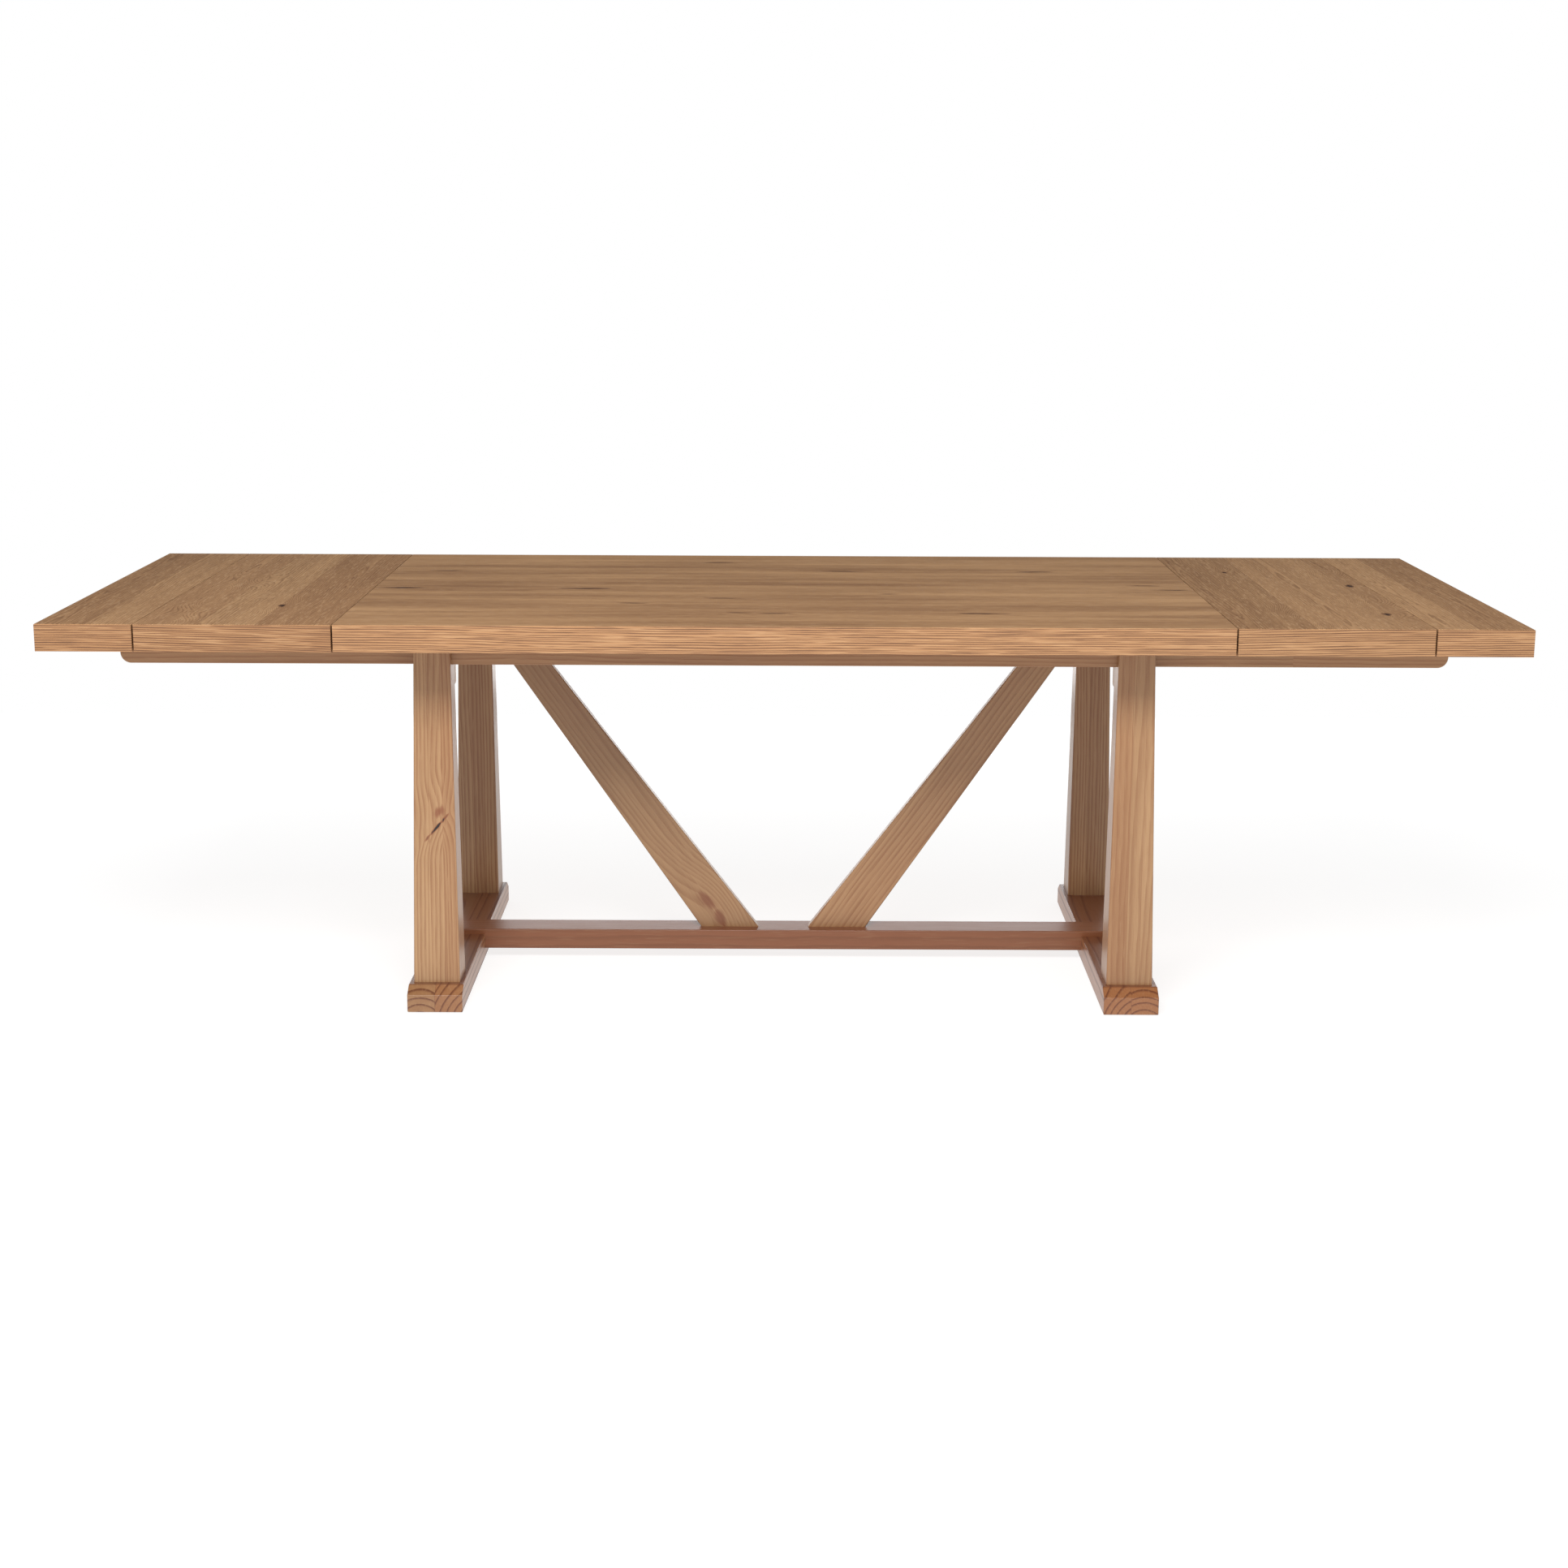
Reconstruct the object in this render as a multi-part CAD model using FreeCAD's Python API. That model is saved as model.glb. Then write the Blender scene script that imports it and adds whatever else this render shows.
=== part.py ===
import FreeCAD, Part
import math
import os

# Extendable trestle dining table, in millimetres.
# X runs along the table, +Y points away from its front, +Z is up.
# The origin is on the floor under the middle of the table, which is drawn opened out
# with both leaves in place.  Pieces are drawn at the right-hand end (+X) or at the front
# and mirrored where the table has a twin.

# --- Driving dimensions -------------------------------------------------------------

# Table top: a fixed main panel, a loose leaf at each side of it and a sliding end panel.
TABLE_HEIGHT = 762.0
TABLE_DEPTH = 1016.0
MAIN_LENGTH = 1634.0
LEAF_LENGTH = 358.0
END_LENGTH = 176.5
PANEL_THICKNESS = 22.0
EDGE_HEIGHT = 50.0
EDGE_THICKNESS = 22.0
ARRIS = 1.2
JOINT_GAP = 1.2
EDGE_SHORTFALL = 1.1

# Cross pieces in the hollow between the panels and the bottom of the edge strips.
BATTEN_WIDTH = 60.0
LEAF_BATTEN_WIDTH = 45.0
HEAD_RAIL_WIDTH = 96.0

# Trestles: a foot beam, a front leg and a back leg at each end.
TRESTLE_SPACING = 1327.0
FOOT_LENGTH = 820.0
FOOT_WIDTH = 105.0
FOOT_HEIGHT = 48.4
FOOT_BEVEL_RUN = 26.0
FOOT_BEVEL_DROP = 14.8
FOOT_EASING = 2.0
GLIDE_HEIGHT = 2.0
GLIDE_DIAMETER = 60.0
GLIDE_INSET = 50.0
LEG_TOP_WIDTH = 68.0
LEG_BOTTOM_WIDTH = 88.5
LEG_TOP_SHIFT = 4.0
LEG_TOP_FRONT = 354.0
LEG_TOP_DEPTH = 54.0
LEG_BOTTOM_FRONT = 372.0
LEG_BOTTOM_DEPTH = 82.0
LEG_EASING = 3.0

# Floor stretcher, lapped over the feet, and the two braces that rise from it.
STRETCHER_DEPTH = 74.0
STRETCHER_HEIGHT = 40.7
STRETCHER_PROUD = 11.2
STRETCHER_EASING = 2.0
BRACE_THICKNESS = 22.0
BRACE_FOOT_OFFSET = 51.0
BRACE_FOOT_WIDTH = 117.5
BRACE_HEAD_WIDTH = 72.0
BRACE_HEAD_SETBACK = 35.0
BRACE_EASING = 2.0

# Rails under the main panel.
MID_RAIL_HEIGHT = 50.0
MID_RAIL_THICKNESS = 22.0
MID_RAIL_SETBACK = 14.0
SPINE_HEIGHT = 40.0
SPINE_WIDTH = 70.0
RAIL_EASING = 1.5

# Extension slides, their guides and the room they run in.
SLIDE_WIDTH = 26.0
SLIDE_HEIGHT = 56.0
SLIDE_NOSE_REACH = 79.0
SLIDE_NOSE_RADIUS = 20.0
SLIDE_EASING = 1.5
SLIDE_SIDE_CLEARANCE = 0.5
SLIDE_LEVEL_CLEARANCE = 0.3
OVERTRAVEL = 60.0
TIE_WIDTH = 50.0
TIE_THICKNESS = 15.0
TIE_INSET = 10.0
TIE_CLEARANCE = 6.0
GUIDE_LENGTH = 66.0
GUIDE_HEIGHT = 46.0
GUIDE_THICKNESS = 20.0
GUIDE_CORNER_RADIUS = 12.0

# Fasteners.
SCREW_DIAMETER = 4.5
SCREW_LENGTH = 38.0
SCREW_HEAD_DIAMETER = 9.0
SCREW_HEAD_HEIGHT = 2.6
SCREW_GRIP = 18.0
LEG_SCREW_DIAMETER = 6.0
LEG_SCREW_LENGTH = 80.0
LEG_SCREW_HEAD_DIAMETER = 12.0
LEG_SCREW_HEAD_HEIGHT = 3.0
LEG_SCREW_SPREAD = 14.0
BOLT_DIAMETER = 8.0
BOLT_LENGTH = 90.0
BOLT_HEAD_DIAMETER = 18.0
BOLT_HEAD_HEIGHT = 6.0
BOLT_RECESS = 14.0
BOLT_SPREAD = 20.0
DOWEL_DIAMETER = 10.0
DOWEL_LENGTH = 40.0
PIN_DIAMETER = 12.0
PIN_GRIP = 20.0
PIN_REACH = 14.0
PIN_CLEARANCE = 0.5
HEAD_SINK = 0.2
HOLE_CLEARANCE = 0.25
HOLE_RUN_OUT = 1.0

# --- Levels and places that follow from them ----------------------------------------

half_depth = TABLE_DEPTH / 2
cavity_y = half_depth - EDGE_THICKNESS
panel_bottom = TABLE_HEIGHT - PANEL_THICKNESS
top_bottom = TABLE_HEIGHT - EDGE_HEIGHT

main_x = MAIN_LENGTH / 2
leaf_in = main_x + JOINT_GAP
leaf_out = leaf_in + LEAF_LENGTH
end_in = leaf_out + JOINT_GAP
end_out = end_in + END_LENGTH

trestle_x = TRESTLE_SPACING / 2
foot_top = GLIDE_HEIGHT + FOOT_HEIGHT
leg_top_x = trestle_x - LEG_TOP_SHIFT
leg_top_y = LEG_TOP_FRONT - LEG_TOP_DEPTH / 2
leg_bottom_y = LEG_BOTTOM_FRONT - LEG_BOTTOM_DEPTH / 2

stretcher_top = foot_top + STRETCHER_PROUD
stretcher_bottom = stretcher_top - STRETCHER_HEIGHT
lap_level = (stretcher_bottom + foot_top) / 2

beam_inner_x = leg_top_x - LEG_TOP_WIDTH / 2
beam_outer_x = leg_top_x + LEG_TOP_WIDTH / 2
spine_bottom = top_bottom - SPINE_HEIGHT

slide_top = top_bottom - SLIDE_LEVEL_CLEARANCE
slide_bottom = slide_top - SLIDE_HEIGHT
guide_top = slide_bottom - SLIDE_LEVEL_CLEARANCE
guide_bottom = guide_top - GUIDE_HEIGHT


def between(low, high, z):
    """Value at height z of what goes evenly from low, at a leg's bottom, to high, at its top."""
    share = (z - foot_top) / (top_bottom - foot_top)
    return low + (high - low) * share


def leg_inner_x(z):
    """Distance from the table's middle to a leg's inner side at height z."""
    return between(trestle_x - LEG_BOTTOM_WIDTH / 2, beam_inner_x, z)


def leg_inner_y(z):
    """Distance from the table's centre line to a leg's inward face at height z."""
    return between(LEG_BOTTOM_FRONT - LEG_BOTTOM_DEPTH, LEG_TOP_FRONT - LEG_TOP_DEPTH, z)


def brace_inner_x(z):
    """Distance from the table's middle to the lower edge of a brace at height z."""
    head_inner = beam_inner_x - BRACE_HEAD_SETBACK - BRACE_HEAD_WIDTH
    share = (z - stretcher_top) / (spine_bottom - stretcher_top)
    return BRACE_FOOT_OFFSET + (head_inner - BRACE_FOOT_OFFSET) * share


slide_outer_y = leg_inner_y(slide_bottom) - SLIDE_SIDE_CLEARANCE
slide_inner_y = slide_outer_y - SLIDE_WIDTH
slide_middle_y = (slide_inner_y + slide_outer_y) / 2
slide_nose_x = end_in + SLIDE_NOSE_REACH
beam_end_y = slide_inner_y - SLIDE_SIDE_CLEARANCE
tie_outer_x = brace_inner_x(slide_bottom) - OVERTRAVEL - TIE_CLEARANCE
tie_inner_x = tie_outer_x - TIE_WIDTH
slide_tail_x = tie_inner_x - TIE_INSET
pin_x = beam_inner_x - OVERTRAVEL - PIN_DIAMETER / 2 - PIN_CLEARANCE

# --- Shape helpers ------------------------------------------------------------------

X_AXIS = FreeCAD.Vector(1, 0, 0)
Y_AXIS = FreeCAD.Vector(0, 1, 0)
Z_AXIS = FreeCAD.Vector(0, 0, 1)
MIDDLE = FreeCAD.Vector(0, 0, 0)


def block(x, y, z):
    """Square-edged block; x, y and z are its low and high coordinates."""
    size = (x[1] - x[0], y[1] - y[0], z[1] - z[0])
    return Part.makeBox(*size, FreeCAD.Vector(x[0], y[0], z[0]))


def prism(outline, path):
    """Solid swept from a flat outline of points along a straight path."""
    points = [FreeCAD.Vector(*point) for point in outline]
    return Part.Face(Part.makePolygon(points + points[:1])).extrude(path)


def eased(solid, radius, is_chosen):
    """The solid with a small radius on each edge that is_chosen accepts."""
    edges = [edge for edge in solid.Edges if is_chosen(edge)]
    return solid.makeFillet(radius, edges)


def runs_along(axis):
    """A test that accepts straight edges parallel to an axis."""
    def is_parallel(edge):
        first, last = edge.Vertexes[0].Point, edge.Vertexes[-1].Point
        return (last - first).cross(axis).Length < 0.001
    return is_parallel


def left_of(solid):
    """The twin of a right-hand piece at the left-hand end."""
    return solid.mirror(MIDDLE, X_AXIS)


def back_of(solid):
    """The twin of a front piece at the back."""
    return solid.mirror(MIDDLE, Y_AXIS)


def four_of(solid):
    """A piece at the right front and its three twins."""
    front = [solid, left_of(solid)]
    return front + [back_of(piece) for piece in front]


def turned(profile, seat, heading):
    """Round solid from (radius, distance) points, turned about heading from its seat."""
    points = [FreeCAD.Vector(radius, 0, along) for radius, along in profile]
    face = Part.Face(Part.makePolygon(points + points[:1]))
    solid = face.revolve(MIDDLE, Z_AXIS, 360)
    turn = FreeCAD.Rotation(Z_AXIS, heading)
    solid.Placement = FreeCAD.Placement(FreeCAD.Vector(*seat), turn)
    return solid


def headed_profile(radius, length, head_radius, head_height):
    """Half outline of a fastener whose head stands behind the seat at distance 0."""
    return [(0, -head_height), (head_radius, -head_height), (head_radius, 0),
            (radius, 0), (radius, length), (0, length)]


def plain_profile(radius, low, high):
    """Half outline of a plain round pin from low to high."""
    return [(0, low), (radius, low), (radius, high), (0, high)]


class Fastener:
    """A fastener and the hole that it needs in whatever it passes through."""

    def __init__(self, solid, hole):
        self.solid = solid
        self.hole = hole

    def moved(self, turn):
        """The same fastener mirrored with its hole by left_of or back_of."""
        return Fastener(turn(self.solid), turn(self.hole))


def headed(size, seat, heading, recess):
    """Screw with its head seated at seat; recess is the depth cleared for the head."""
    radius, length, head_radius, head_height = size
    solid = turned(headed_profile(radius, length, head_radius, head_height), seat, heading)
    hole_profile = headed_profile(radius + HOLE_CLEARANCE, length + HOLE_RUN_OUT,
                                  head_radius + HOLE_CLEARANCE, recess)
    return Fastener(solid, turned(hole_profile, seat, heading))


def screw(seat, heading, recess=SCREW_HEAD_HEIGHT + HEAD_SINK):
    """The wood screw that holds most of the table together."""
    size = (SCREW_DIAMETER / 2, SCREW_LENGTH, SCREW_HEAD_DIAMETER / 2, SCREW_HEAD_HEIGHT)
    return headed(size, seat, heading, recess)


def dowel(centre, heading):
    """Plain dowel, half on each side of its centre, with a little room at both ends."""
    solid = turned(plain_profile(DOWEL_DIAMETER / 2, -DOWEL_LENGTH / 2, DOWEL_LENGTH / 2),
                   centre, heading)
    hole_end = DOWEL_LENGTH / 2 + HOLE_RUN_OUT
    hole = turned(plain_profile(DOWEL_DIAMETER / 2, -hole_end, hole_end), centre, heading)
    return Fastener(solid, hole)


def all_four(fasteners):
    """Fasteners at the right front with their twins at the other three corners."""
    front = fasteners + [each.moved(left_of) for each in fasteners]
    return front + [each.moved(back_of) for each in front]


def both_ends(fasteners):
    """Fasteners at the right-hand end with their twins at the left."""
    return fasteners + [each.moved(left_of) for each in fasteners]


def drilled(solid, fasteners):
    """The solid with a hole for each fastener that reaches it."""
    holes = [each.hole for each in fasteners if each.hole.BoundBox.intersect(solid.BoundBox)]
    return solid.cut(holes) if holes else solid


def only_solid(shape):
    """The one solid that a cut leaves, without seams."""
    return shape.removeSplitter().Solids[0]


def save(name, *solids):
    """Write one named piece, or one group of like pieces, as a STEP file."""
    shape = solids[0] if len(solids) == 1 else Part.makeCompound(list(solids))
    shape.exportStep(f"parts/{name}.step")


def save_fasteners(name, fasteners):
    save(name, *[each.solid for each in fasteners])


# --- Table top ----------------------------------------------------------------------

def panel_section(x):
    """Panel outline across the table at x: mitred to the strips, with a small arris."""
    mitre_y = half_depth - ARRIS / 2
    mitre_z = TABLE_HEIGHT - ARRIS / 2
    half = [(half_depth - ARRIS, TABLE_HEIGHT), (mitre_y, mitre_z), (cavity_y, panel_bottom)]
    front = [(x, -y, z) for y, z in half]
    back = [(x, y, z) for y, z in reversed(half)]
    return front + back


def strip_section(outer):
    """Edge strip outline as (outward distance, height) points for an outer face at outer."""
    return [(outer - ARRIS / 2, TABLE_HEIGHT - ARRIS / 2), (outer, TABLE_HEIGHT - ARRIS),
            (outer, top_bottom), (outer - EDGE_THICKNESS, top_bottom),
            (outer - EDGE_THICKNESS, panel_bottom)]


def panel(start, end):
    """Panel between two joints, square-ended."""
    return prism(panel_section(start), X_AXIS * (end - start))


def front_edge(start, end):
    """Front edge strip from start to end."""
    outline = [(start, -y, z) for y, z in strip_section(half_depth)]
    return prism(outline, X_AXIS * (end - start))


def batten(start, width, bottom=top_bottom):
    """Board across the hollow of the top, from strip to strip and up to the panel."""
    return block((start, start + width), (-cavity_y, cavity_y), (bottom, panel_bottom))


def end_panel():
    """End panel, mitred to the strips on three sides."""
    mitre_x = end_out - ARRIS / 2
    outline = [(end_in, panel_bottom), (end_in, TABLE_HEIGHT), (end_out - ARRIS, TABLE_HEIGHT),
               (mitre_x, TABLE_HEIGHT - ARRIS / 2), (end_out - EDGE_THICKNESS, panel_bottom)]
    lengthwise = prism([(x, -half_depth, z) for x, z in outline], Y_AXIS * TABLE_DEPTH)
    return panel(end_in, end_out).common(lengthwise).Solids[0]


def end_front_edge():
    """Front strip of an end panel, mitred in plan at the table's corner."""
    start = end_in + EDGE_SHORTFALL
    plan = [(start, -half_depth, top_bottom), (end_out, -half_depth, top_bottom),
            (end_out - EDGE_THICKNESS, -cavity_y, top_bottom), (start, -cavity_y, top_bottom)]
    return front_edge(start, end_out).common(prism(plan, Z_AXIS * EDGE_HEIGHT)).Solids[0]


def end_outer_edge():
    """Strip across the end of the table, mitred in plan at both corners."""
    plan = [(end_out, -half_depth, top_bottom), (end_out, half_depth, top_bottom),
            (end_out - EDGE_THICKNESS, cavity_y, top_bottom),
            (end_out - EDGE_THICKNESS, -cavity_y, top_bottom)]
    outline = [(x, -half_depth, z) for x, z in strip_section(end_out)]
    strip = prism(outline, Y_AXIS * TABLE_DEPTH)
    return strip.common(prism(plan, Z_AXIS * EDGE_HEIGHT)).Solids[0]


def top_screws(x, bottom, stations):
    """Screws up through a batten into the panel, at the given distances from the middle."""
    seat_z = bottom + SCREW_HEAD_HEIGHT + HEAD_SINK
    return [screw((x, y, seat_z), Z_AXIS) for y in stations]


# --- Trestles -----------------------------------------------------------------------

def leg():
    """Right front leg, tapered on all four sides."""
    bottom_x = trestle_x - LEG_BOTTOM_WIDTH / 2
    bottom_y = LEG_BOTTOM_DEPTH - LEG_BOTTOM_FRONT
    top_y = LEG_TOP_DEPTH - LEG_TOP_FRONT
    front_view = [(bottom_x, foot_top), (bottom_x + LEG_BOTTOM_WIDTH, foot_top),
                  (beam_outer_x, top_bottom), (beam_inner_x, top_bottom)]
    side_view = [(-LEG_BOTTOM_FRONT, foot_top), (bottom_y, foot_top),
                 (top_y, top_bottom), (-LEG_TOP_FRONT, top_bottom)]
    wide = prism([(x, -half_depth, z) for x, z in front_view], Y_AXIS * half_depth)
    deep = prism([(0, y, z) for y, z in side_view], X_AXIS * main_x)
    body = wide.common(deep).Solids[0]

    def is_upright(edge):
        return edge.BoundBox.ZLength > 1

    return eased(body, LEG_EASING, is_upright)


def foot():
    """Right foot beam with bevelled ends and a notch for the stretcher."""
    half = FOOT_LENGTH / 2
    inner = trestle_x - FOOT_WIDTH / 2
    side = [(half, GLIDE_HEIGHT), (half, foot_top - FOOT_BEVEL_DROP),
            (half - FOOT_BEVEL_RUN, foot_top)]
    outline = [(inner, y, z) for y, z in side] + [(inner, -y, z) for y, z in reversed(side)]
    body = eased(prism(outline, X_AXIS * FOOT_WIDTH), FOOT_EASING, lambda edge: True)
    notch = block((inner, inner + FOOT_WIDTH), (-STRETCHER_DEPTH / 2, STRETCHER_DEPTH / 2),
                  (lap_level, foot_top))
    return body.cut(notch)


def glide():
    """Low round pad under the right front end of a foot."""
    radius = GLIDE_DIAMETER / 2
    seat = (trestle_x, GLIDE_INSET - FOOT_LENGTH / 2, 0)
    profile = [(0, 0), (radius - GLIDE_HEIGHT / 2, 0), (radius, GLIDE_HEIGHT / 2),
               (radius, GLIDE_HEIGHT), (0, GLIDE_HEIGHT)]
    return turned(profile, seat, Z_AXIS)


def stretcher():
    """Long floor beam, notched to lap over both feet."""
    outer = trestle_x + FOOT_WIDTH / 2
    body = block((-outer, outer), (-STRETCHER_DEPTH / 2, STRETCHER_DEPTH / 2),
                 (stretcher_bottom, stretcher_top))
    body = eased(body, STRETCHER_EASING, runs_along(X_AXIS))
    notch = block((outer - FOOT_WIDTH, outer), (-STRETCHER_DEPTH / 2, STRETCHER_DEPTH / 2),
                  (stretcher_bottom, lap_level))
    return body.cut([notch, left_of(notch)])


def brace():
    """Right brace, narrowing from the stretcher up to the spine."""
    head_outer = beam_inner_x - BRACE_HEAD_SETBACK
    outline = [(BRACE_FOOT_OFFSET, stretcher_top),
               (BRACE_FOOT_OFFSET + BRACE_FOOT_WIDTH, stretcher_top),
               (head_outer, spine_bottom), (head_outer - BRACE_HEAD_WIDTH, spine_bottom)]
    body = prism([(x, -BRACE_THICKNESS / 2, z) for x, z in outline], Y_AXIS * BRACE_THICKNESS)

    def is_slanting(edge):
        return edge.BoundBox.ZLength > 1

    return eased(body, BRACE_EASING, is_slanting)


def bolt(x):
    """Bolt from under the right front foot up into the leg, with a hexagon head."""
    seat = (x, -leg_bottom_y, GLIDE_HEIGHT + BOLT_RECESS)
    size = (BOLT_DIAMETER / 2, BOLT_LENGTH, BOLT_HEAD_DIAMETER / 2, BOLT_HEAD_HEIGHT)
    flanged = headed(size, seat, Z_AXIS, BOLT_RECESS)
    corner = BOLT_HEAD_DIAMETER / 2
    base_z = seat[2] - BOLT_HEAD_HEIGHT
    angles = [math.radians(60 * step) for step in range(6)]
    outline = [(x + corner * math.cos(a), seat[1] + corner * math.sin(a), base_z) for a in angles]
    hexagon = prism(outline, Z_AXIS * BOLT_HEAD_HEIGHT)
    shank_profile = plain_profile(BOLT_DIAMETER / 2, 0, BOLT_LENGTH)
    shank = turned(shank_profile, seat, Z_AXIS)
    return Fastener(only_solid(hexagon.fuse(shank)), flanged.hole)


def leg_screw(y):
    """Long screw down through the head rail into the right front leg."""
    size = (LEG_SCREW_DIAMETER / 2, LEG_SCREW_LENGTH,
            LEG_SCREW_HEAD_DIAMETER / 2, LEG_SCREW_HEAD_HEIGHT)
    recess = LEG_SCREW_HEAD_HEIGHT + HEAD_SINK
    return headed(size, (leg_top_x, y, panel_bottom - recess), -Z_AXIS, recess)


# --- Rails under the main panel -------------------------------------------------------

def cross_beam():
    """Right cross beam between the slides, under the head rail."""
    return block((beam_inner_x, beam_outer_x), (-beam_end_y, beam_end_y), (slide_bottom, top_bottom))


def spine():
    """Rail along the centre line from one cross beam to the other."""
    return block((-beam_inner_x, beam_inner_x), (-SPINE_WIDTH / 2, SPINE_WIDTH / 2),
                 (spine_bottom, top_bottom))


def front_mid_rail(legs):
    """Rail between the two front legs, scribed to their tapered sides."""
    front = MID_RAIL_SETBACK - LEG_TOP_FRONT
    body = block((-leg_top_x, leg_top_x), (front, front + MID_RAIL_THICKNESS),
                 (top_bottom - MID_RAIL_HEIGHT, top_bottom))
    body = eased(body, RAIL_EASING, runs_along(X_AXIS))
    return only_solid(body.cut(legs))


def guide(front_leg):
    """Block behind the right front leg that the slide runs over."""
    inner_y = leg_inner_y(guide_bottom) - GUIDE_THICKNESS
    start = leg_inner_x(guide_top)
    body = block((start, start + GUIDE_LENGTH), (-leg_top_y, -inner_y), (guide_bottom, guide_top))

    def is_lower_inner(edge):
        box = edge.BoundBox
        return box.XMax < start + 0.001 and box.ZMax < guide_bottom + 0.001

    return only_solid(eased(body, GUIDE_CORNER_RADIUS, is_lower_inner).cut(front_leg))


# --- Extension slides ---------------------------------------------------------------

def slide():
    """Right front slide with a rounded lower corner at its nose."""
    body = block((slide_tail_x, slide_nose_x), (-slide_outer_y, -slide_inner_y),
                 (slide_bottom, slide_top))

    def is_nose(edge):
        box = edge.BoundBox
        return box.XMin > slide_nose_x - 0.001 and box.ZMax < slide_bottom + 0.001

    rounded = eased(body, SLIDE_NOSE_RADIUS, is_nose)

    def is_lower_side(edge):
        return runs_along(X_AXIS)(edge) and edge.BoundBox.ZMax < slide_bottom + 0.001

    return eased(rounded, SLIDE_EASING, is_lower_side)


def slide_tie():
    """Flat board that joins the tails of the right-hand pair of slides."""
    return block((tie_inner_x, tie_outer_x), (-slide_inner_y, slide_inner_y),
                 (slide_bottom, slide_bottom + TIE_THICKNESS))


def stop_pin():
    """Pin in the right front slide that meets the cross beam when the end is fully out."""
    profile = plain_profile(PIN_DIAMETER / 2, -PIN_REACH, PIN_GRIP)
    seat = (pin_x, -slide_inner_y, slide_bottom + SLIDE_HEIGHT / 2)
    solid = turned(profile, seat, -Y_AXIS)
    hole = turned(plain_profile(PIN_DIAMETER / 2, -PIN_REACH, PIN_GRIP + HOLE_RUN_OUT),
                  seat, -Y_AXIS)
    return Fastener(solid, hole)


# --- Fastener sets ------------------------------------------------------------------

def main_screws():
    """Screws of the fixed part: top, cross beams, laps, braces and slide guides."""
    wide = cavity_y - BATTEN_WIDTH
    stations = [share * wide for share in (-1, -0.4, 0.4, 1)]
    found = top_screws(0, top_bottom, stations)
    end_batten_x = main_x - BATTEN_WIDTH / 2
    right = top_screws(end_batten_x, top_bottom, stations)
    right += top_screws(leg_top_x, top_bottom, (-wide, wide))
    for share in (-0.8, 0, 0.8):
        seat = (leg_top_x, share * beam_end_y, top_bottom - SCREW_GRIP)
        right.append(screw(seat, Z_AXIS, seat[2] - slide_bottom))
    for offset in (-FOOT_WIDTH / 4, FOOT_WIDTH / 4):
        seat_z = lap_level - SCREW_GRIP
        right.append(screw((trestle_x + offset, 0, seat_z), Z_AXIS, seat_z - GLIDE_HEIGHT))
    for share in (0.3, 0.7):
        seat = (BRACE_FOOT_OFFSET + share * BRACE_FOOT_WIDTH, 0, stretcher_top - SCREW_GRIP)
        right.append(screw(seat, Z_AXIS, seat[2] - stretcher_bottom))
    for share in (0.25, 0.6):
        seat = (brace_inner_x(spine_bottom) + share * BRACE_HEAD_WIDTH, 0, spine_bottom + SCREW_GRIP)
        right.append(screw(seat, -Z_AXIS, top_bottom - seat[2]))
    corner = []
    for share in (0.25, 0.75):
        seat_y = GUIDE_THICKNESS - SCREW_HEAD_HEIGHT - HEAD_SINK - leg_inner_y(guide_bottom)
        seat = (leg_inner_x(guide_top) + share * GUIDE_LENGTH, seat_y, guide_bottom + GUIDE_HEIGHT / 2)
        corner.append(screw(seat, -Y_AXIS))
    return found + both_ends(right) + all_four(corner)


def end_screws():
    """Screws of the right-hand end: its rail to the panel, slides to rail, slides to tie."""
    rail_middle = end_in + BATTEN_WIDTH / 2
    found = top_screws(rail_middle, slide_top, (-cavity_y + BATTEN_WIDTH, 0, cavity_y - BATTEN_WIDTH))
    corner = []
    for share in (0.25, 0.75):
        seat = (end_in + share * BATTEN_WIDTH, -slide_middle_y, slide_top - SCREW_GRIP)
        corner.append(screw(seat, Z_AXIS, seat[2] - slide_bottom))
    for share in (0.25, 0.75):
        seat = (tie_inner_x + share * TIE_WIDTH, -slide_inner_y - SCREW_GRIP,
                slide_bottom + TIE_THICKNESS / 2)
        corner.append(screw(seat, Y_AXIS, SLIDE_WIDTH - SCREW_GRIP))
    return found + corner + [each.moved(back_of) for each in corner]


def frame_dowels():
    """Dowels between the mid rails and the legs, and between the spine and the beams."""
    rail_y = MID_RAIL_SETBACK + MID_RAIL_THICKNESS / 2 - LEG_TOP_FRONT
    rail_middle = top_bottom - MID_RAIL_HEIGHT / 2
    corner = []
    for drop in (-MID_RAIL_HEIGHT / 5, MID_RAIL_HEIGHT / 5):
        level = rail_middle + drop
        corner.append(dowel((leg_inner_x(level), rail_y, level), X_AXIS))
    corner.append(dowel((beam_inner_x, -SPINE_WIDTH / 4, top_bottom - SPINE_HEIGHT / 2), X_AXIS))
    return all_four(corner)


# --- Assembly -----------------------------------------------------------------------

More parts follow.
